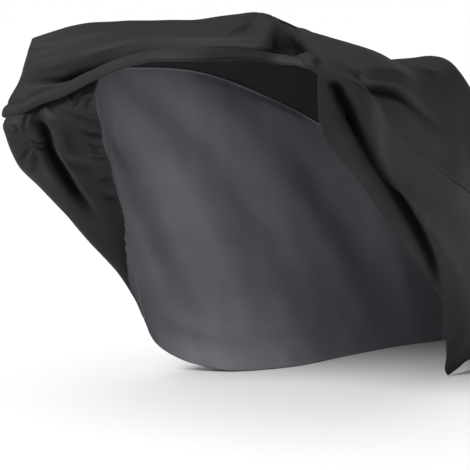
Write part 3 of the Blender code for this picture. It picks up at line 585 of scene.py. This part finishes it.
def coated_cloth(name, dark, light, rough, sheen, weave_depth, crinkle, shine, deepest=1.0):
    """A plain weave of flat yarns under a thin coating. dark and light are the colours between which it varies.

    deepest: the share of that colour and of its gloss that is left at the bottom of a deep fold. This is painted shade:
    the lights alone leave deep folds too pale, so the colour darkens them."""
    mat, nodes, links, shader = shader_nodes(name)
    uv = nodes.new("ShaderNodeUVMap")
    uv.uv_map = "cloth"
    split = nodes.new("ShaderNodeSeparateXYZ")
    links.new(uv.outputs[0], split.inputs[0])
    place = nodes.new("ShaderNodeTexCoord").outputs["Object"]

    def noise(scale, detail, source=place):
        node = nodes.new("ShaderNodeTexNoise")
        node.inputs["Scale"].default_value = scale
        node.inputs["Detail"].default_value = detail
        node.inputs["Roughness"].default_value = 0.55
        links.new(source, node.inputs["Vector"])
        return node.outputs["Fac"]

    # the weave: yarns over and under, 0.9 mm apart
    pitch = 2 * math.pi / 0.0018
    warp = math_node(nodes, links, "SINE", math_node(nodes, links, "MULTIPLY", split.outputs["X"], pitch))
    weft = math_node(nodes, links, "SINE", math_node(nodes, links, "MULTIPLY", split.outputs["Y"], pitch))
    yarns = math_node(nodes, links, "MULTIPLY", warp, weft)
    broad, fine, grain = noise(5.5, 3.0), noise(70.0, 3.0), noise(420.0, 2.0)
    mixed = math_node(nodes, links, "MULTIPLY_ADD", fine, 0.35, math_node(nodes, links, "MULTIPLY", broad, 0.65))
    # stitches: dashes in a row beside each seam and along each hem
    seam = nodes.new("ShaderNodeAttribute")
    seam.attribute_name = "seam_d"
    hem = nodes.new("ShaderNodeAttribute")
    hem.attribute_name = "hem_d"

    def row_of(distance, at, width):
        off = math_node(nodes, links, "ABSOLUTE", math_node(nodes, links, "SUBTRACT", distance, at))
        return math_node(nodes, links, "LESS_THAN", off, width)

    both = math_node(nodes, links, "ADD", split.outputs["X"], split.outputs["Y"])
    dash = math_node(nodes, links, "GREATER_THAN",
                     math_node(nodes, links, "FRACT", math_node(nodes, links, "DIVIDE", both, 0.0045)), 0.28)
    rows = math_node(nodes, links, "ADD", row_of(seam.outputs["Fac"], 0.0068, 0.0006),
                     math_node(nodes, links, "ADD", row_of(hem.outputs["Fac"], HEM - 0.003, 0.0006),
                               row_of(hem.outputs["Fac"], 0.003, 0.0006)))
    stitch = math_node(nodes, links, "MULTIPLY", math_node(nodes, links, "MINIMUM", rows, 1.0), dash)
    # wear: the coating rubs a little paler on the very edges
    worn = math_node(nodes, links, "MULTIPLY",
                     math_node(nodes, links, "SUBTRACT", 1.0, math_node(nodes, links, "MULTIPLY", hem.outputs["Fac"], 120.0)), 0.5)
    worn = math_node(nodes, links, "MAXIMUM", worn, 0.0)
    tone = nodes.new("ShaderNodeMix")
    tone.data_type = "RGBA"
    tone.inputs["A"].default_value = (*dark, 1)
    tone.inputs["B"].default_value = (*light, 1)
    links.new(math_node(nodes, links, "ADD", mixed, worn), tone.inputs["Factor"])
    thread = nodes.new("ShaderNodeMix")
    thread.data_type = "RGBA"
    thread.inputs["B"].default_value = (*[min(1.0, c * 1.15 + 0.002) for c in light], 1)
    links.new(tone.outputs["Result"], thread.inputs["A"])
    links.new(stitch, thread.inputs["Factor"])
    # painted shade: deeper in a fold, the colour darkens towards the dark colour times deepest and the gloss drops with
    # it
    fold = nodes.new("ShaderNodeAttribute")
    fold.attribute_name = "painted_shade_fold_depth"
    span = nodes.new("ShaderNodeMapRange")
    span.inputs["From Min"].default_value = PAINTED_FOLD_SHADE_DEPTHS[0]
    span.inputs["From Max"].default_value = PAINTED_FOLD_SHADE_DEPTHS[1]
    links.new(fold.outputs["Fac"], span.inputs["Value"])
    inside = nodes.new("ShaderNodeMix")
    inside.data_type = "RGBA"
    inside.inputs["B"].default_value = (*[c * deepest for c in dark], 1)
    links.new(thread.outputs["Result"], inside.inputs["A"])
    links.new(span.outputs["Result"], inside.inputs["Factor"])
    gloss = nodes.new("ShaderNodeMapRange")
    gloss.inputs["To Min"].default_value = shine
    gloss.inputs["To Max"].default_value = shine * deepest
    links.new(span.outputs["Result"], gloss.inputs["Value"])
    links.new(gloss.outputs["Result"], shader.inputs["Specular IOR Level"])
    links.new(inside.outputs["Result"], shader.inputs["Base Color"])
    span = nodes.new("ShaderNodeMapRange")
    span.inputs["To Min"].default_value = rough - 0.05
    span.inputs["To Max"].default_value = rough + 0.07
    links.new(mixed, span.inputs["Value"])
    links.new(span.outputs["Result"], shader.inputs["Roughness"])
    shader.inputs["Sheen Weight"].default_value = sheen
    shader.inputs["Sheen Roughness"].default_value = 0.45
    height = math_node(nodes, links, "MULTIPLY_ADD", grain, 0.00005,
                       math_node(nodes, links, "MULTIPLY_ADD", fine, crinkle, math_node(nodes, links, "MULTIPLY", yarns, weave_depth)))
    height = math_node(nodes, links, "MULTIPLY_ADD", stitch, 0.0004, height)
    relief = nodes.new("ShaderNodeBump")
    relief.inputs["Strength"].default_value = 1.0
    relief.inputs["Distance"].default_value = 1.0
    links.new(height, relief.inputs["Height"])
    links.new(relief.outputs["Normal"], shader.inputs["Normal"])
    return mat


# painted shade: its deep folds keep only a fifth of the dark colour and of the gloss
def outer_cloth():
    return coated_cloth("black_coated_cloth", (0.0175, 0.0177, 0.0190), (0.0245, 0.0247, 0.0265), 0.55, 0.03, 0.00006, 0.0003, 0.12, 0.20)


# painted shade: the top panel's inside is black, standing in for the shade under the roof
def painted_shade_underside_cloth():
    return coated_cloth("underside_painted_shade", (0.020, 0.0205, 0.022), (0.030, 0.031, 0.034), 0.6, 0.02, 0.00005, 0.0003, 0.15)


def inner_cloth():
    return coated_cloth("grey_coating", (0.165, 0.170, 0.189), (0.220, 0.227, 0.251), 0.46, 0.03, 0.00004, 0.0005, 0.4)


# The four panels


def make_panels():
    share = 1.0

    def n(count):
        return max(4, int(round(count * share)))

    # where each sheet's rows and columns lie
    near_s = spread((0, 0.20, n(84)), (0.20, 1, n(110)))
    near_h = spread((0, 0.10, n(22)), (0.10, 0.92, n(150)), (0.92, 1, n(22)))
    far_s = spread((0, 0.06, n(18)), (0.06, 1, n(160)))
    far_h = spread((0, 0.08, n(14)), (0.08, 0.94, n(140)), (0.94, 1, n(14)))
    nose_a = spread((0, 0.12, n(34)), (0.12, 0.60, n(100)), (0.60, 1, n(40)))
    nose_b = np.linspace(0, 1, n(200) + 1)
    visor_q = spread((0, 0.45, n(40)), (0.45, 0.94, n(24)), (0.94, 1, n(6)))
    roof_s = spread((0, 0.12, n(26)), (0.12, 1, n(56)))
    tail_h = spread((1, 0.05, n(24)), (0.05, 0, n(4)))
    count = n(72) * 4
    top_t = spread((0, 0.02, count // 32), (0.02, 0.98, count - 2 * (count // 32)), (0.98, 1, count // 32))

    ns, nh = np.meshgrid(near_s, near_h, indexing="ij")
    fs, fh = np.meshgrid(far_s, far_h, indexing="ij")
    aa, bb = np.meshgrid(nose_a, nose_b, indexing="ij")
    rows = np.concatenate([visor_q, 1 + roof_s[1:], 3 - tail_h[1:]])
    rr, tt = np.meshgrid(rows, top_t, indexing="ij")
    near, far, front = near_side(ns, nh), far_side(fs, fh), nose(aa, bb)
    top = top_place(rr, tt)
    crest = len(visor_q) - 1
    end = crest + len(roof_s) - 1  # the last row of the roof
    near_n, far_n, top_n, front_n = normals(near, 1), normals(far, -1), normals(top, 1), normals(front, -1)

    # one direction along each seam for both of its panels
    def at(places, values, where):
        return unit(np.stack([np.interp(where, places, values[:, i]) for i in range(3)], -1))

    both = np.linspace(0, 1, 160)
    near_top = unit(at(near_s, near_n[:, -1], both) + at(roof_s, top_n[crest:end + 1, 0], both))
    far_top = unit(at(far_s, far_n[:, -1], both) + at(roof_s, top_n[crest:end + 1, -1], both))
    near_tail = unit(at(near_h, near_n[-1], both) + at(tail_h[::-1], top_n[end:, 0][::-1], both))
    far_tail = unit(at(far_h, far_n[-1], both) + at(tail_h[::-1], top_n[end:, -1][::-1], both))
    nose_far = unit(at(far_h, far_n[0], both) + at(nose_b * NOSE_TOP, front_n[-1], both))

    # folds, fading out at the seams
    fade = np.clip(np.minimum(1 - ns, (1 - nh) / 0.5) / 0.03, 0, 1)
    near_f = creases(near, near_n, near_side, NEAR_CREASES) * fade
    near_d = near_f + 0.0016 * uneven(near, 3) * np.clip(ns / 0.02, 0, 1) * fade
    fade = np.clip(np.minimum(np.minimum(fs, 1 - fs), 1 - fh) / 0.04, 0, 1)
    far_f = creases(far, far_n, far_side, FAR_CREASES) * fade
    far_d = far_f + 0.0030 * uneven(far, 5) * fade
    fade = np.clip((1 - aa) / 0.06, 0, 1) * np.clip((1 - bb) / 0.03, 0, 1)
    front_f = creases(front, front_n, nose, NOSE_CREASES) * fade
    front_d = front_f + (nose_folds(aa, bb) + 0.0014 * uneven(front, 7)) * fade
    fade = np.where(rr > 1, np.clip(np.minimum(tt, 1 - tt) / 0.03, 0, 1), 1.0) * np.clip((3 - rr) / 0.05, 0, 1)
    top_d = top_folds(np.where(rr > 1, 2.0, rr), tt)
    top_f = creases(top, top_n, top_place, TOP_CREASES) * fade
    top_d = top_d + top_f + 0.0018 * uneven(top, 2) * np.clip(rr / 0.1, 0, 1) * fade
    # painted shade: towards the near corner the cuff's lower half is painted as dark as the inside of a fold, for the
    # shade under its roll; the cloth is not moved
    painted_cuff_shade = (1 - ramp(rr, 0.02, 0.13)) * ramp(tt, 0.10, 0.22) * (1 - ramp(tt, 0.30, 0.46))
    top_f = np.minimum(top_f, -0.015 * painted_cuff_shade)
    GRIDS.update(near_side=(ns, nh, near), far_side=(fs, fh, far), nose=(aa, bb, front), top=(rr, tt, top))
    near = near + near_n * near_d[..., None]
    far = far + far_n * far_d[..., None]
    front = front + front_n * front_d[..., None]
    top = top + top_n * top_d[..., None]
    # the inner faces lie off to a side between the smooth sheet's and the folded one's
    near_n, far_n, front_n = unit(near_n + normals(near, 1)), unit(far_n + normals(far, -1)), unit(front_n + normals(front, -1))
    GRIDS.update(near_side_real=(ns, nh, near), far_side_real=(fs, fh, far), nose_real=(aa, bb, front), top_real=(rr, tt, top))

    # the edge turned under, and the width turned up inside
    radius, width = column(ROLL, top_t, 1)[:, None], column(ROLL, top_t, 2)[:, None]
    up = unit(unit(top[2] - top[0]) + unit(visor(np.full_like(top_t, 0.1), top_t) - visor(np.zeros_like(top_t), top_t)))
    n0 = unit(top_n[0] - up * (top_n[0] * up).sum(1)[:, None])
    under = []
    for g in spread((2, 1, n(8)), (1, 0, n(10)))[:-1]:
        a = math.pi * min(g, 1)
        under.append(top[0] + n0 * radius * (math.cos(a) - 1) - up * radius * math.sin(a) + up * width * max(g - 1, 0))
    lead = len(under)
    top = np.concatenate([np.array(under), top])
    top_f = np.concatenate([np.repeat(top_f[:1], lead, 0), top_f])
    where_s = np.concatenate([np.zeros(lead + crest), roof_s, np.ones(len(tail_h) - 1)])
    where_h = np.concatenate([np.ones(lead + crest + len(roof_s)), tail_h[1:]])
    in_roof = where_s < 1
    along_near = np.where(in_roof[:, None], at(both, near_top, where_s), at(both, near_tail, where_h))
    along_far = np.where(in_roof[:, None], at(both, far_top, where_s), at(both, far_tail, where_h))
    real = normals(top, 1)
    w = np.clip((np.arange(len(top)) - lead) / 6, 0, 1)[:, None, None]
    way = unit(real * (1 - w) + unit(real + np.concatenate([real[:lead], top_n])) * w)
    along_near[:lead + crest] = real[:lead + crest, 0]
    along_far[:lead + crest] = real[:lead + crest, -1]

    made = {
        "near_side": cloth("near_side", near, near_n, 1, near_f, {"last": at(both, near_top, near_s), "high": at(both, near_tail, near_h)},
                           ("low", "first")),
        "far_side": cloth("far_side", far, far_n, -1, far_f, {"last": at(both, far_top, far_s), "high": at(both, far_tail, far_h),
                                                "low": at(both, nose_far, far_h)}, ("first",)),
        "top": cloth("top", top, way, 1, top_f, {"first": along_near, "last": along_far}, ("low", "high"),
                     halve=(lead + crest + int(len(roof_s) * 0.74), lead + end + 2)),
        "nose": cloth("nose", front, front_n, -1, front_f, {"high": at(both, nose_far, nose_b * NOSE_TOP)}, ("low", "first"))}
    black, under, grey = outer_cloth(), painted_shade_underside_cloth(), inner_cloth()
    for piece, node in (("near_side", "near_side_panel"), ("far_side", "far_side_panel"), ("top", "top_panel"), ("nose", "nose_panel")):
        ob = made[piece]
        ob.data.materials.append(black)
        ob.data.materials.append(under if piece == "top" else grey)  # painted shade: the top's inside is black for the shade under the roof; only the sides show the grey coating
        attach(ob, "root")
        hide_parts(node)
    for piece, flat in FLAT.items():
        real = area(made[piece])
        print("AREA", piece, round(real, 4), "of", flat[0] * flat[1], "triangles", sum(len(f.vertices) - 2 for f in made[piece].data.polygons))
    return made


# Camera, floor and light


def look(ob, place, towards):
    ob.location = place
    ob.rotation_euler = (Vector(towards) - Vector(place)).to_track_quat("-Z", "Y").to_euler()


def make_stage():
    scene = bpy.context.scene
    yaw, pitch = math.radians(48.9), math.radians(8.6)
    ahead = Vector((math.sin(yaw) * math.cos(pitch), math.cos(yaw) * math.cos(pitch), -math.sin(pitch)))
    right = Vector((math.cos(yaw), -math.sin(yaw), 0))
    up = right.cross(ahead)
    camera = bpy.data.objects.new("camera", bpy.data.cameras.new("camera"))
    scene.collection.objects.link(camera)
    camera.data.sensor_width = 36
    camera.data.lens = 1800 / 470 * 36
    camera.data.clip_end = 400
    spot = Vector((-3.2, -3.11, 1.192)) - Vector(DATUM)
    camera.matrix_world = Matrix.Translation(spot) @ Matrix((right, up, -ahead)).transposed().to_4x4()
    scene.camera = camera

    mesh = bpy.data.meshes.new("floor")
    mesh.from_pydata([(-80, -80, 0), (80, -80, 0), (80, 80, 0), (-80, 80, 0)], [], [(0, 1, 2, 3)])
    floor = bpy.data.objects.new("floor", mesh)
    scene.collection.objects.link(floor)
    mat, nodes, links, shader = shader_nodes("pale_floor")
    shader.inputs["Base Color"].default_value = (0.93, 0.93, 0.93, 1)
    shader.inputs["Roughness"].default_value = 0.75
    shader.inputs["Specular IOR Level"].default_value = 0.2
    mesh.materials.append(mat)
    floor.location.z = -0.0005

    world = bpy.data.worlds.new("studio")
    world.use_nodes = True
    world.node_tree.nodes["Background"].inputs["Color"].default_value = (1, 1, 1, 1)
    world.node_tree.nodes["Background"].inputs["Strength"].default_value = 0.10
    scene.world = world

    for name, place, energy, angle in (("overhead", (-0.3, 0.1, 1.0), 1.3, 60), ("key", (-0.90, 0.10, 0.80), 3.1, 26)):
        sun = bpy.data.objects.new(name, bpy.data.lights.new(name, "SUN"))
        sun.data.energy = energy
        sun.data.angle = math.radians(angle)
        scene.collection.objects.link(sun)
        look(sun, place, (0, 0, 0))
    scene.view_settings.view_transform = "Standard"
    scene.view_settings.look = "None"
    scene.view_settings.exposure = 0
    scene.view_settings.gamma = 1


make_stage()
make_panels()
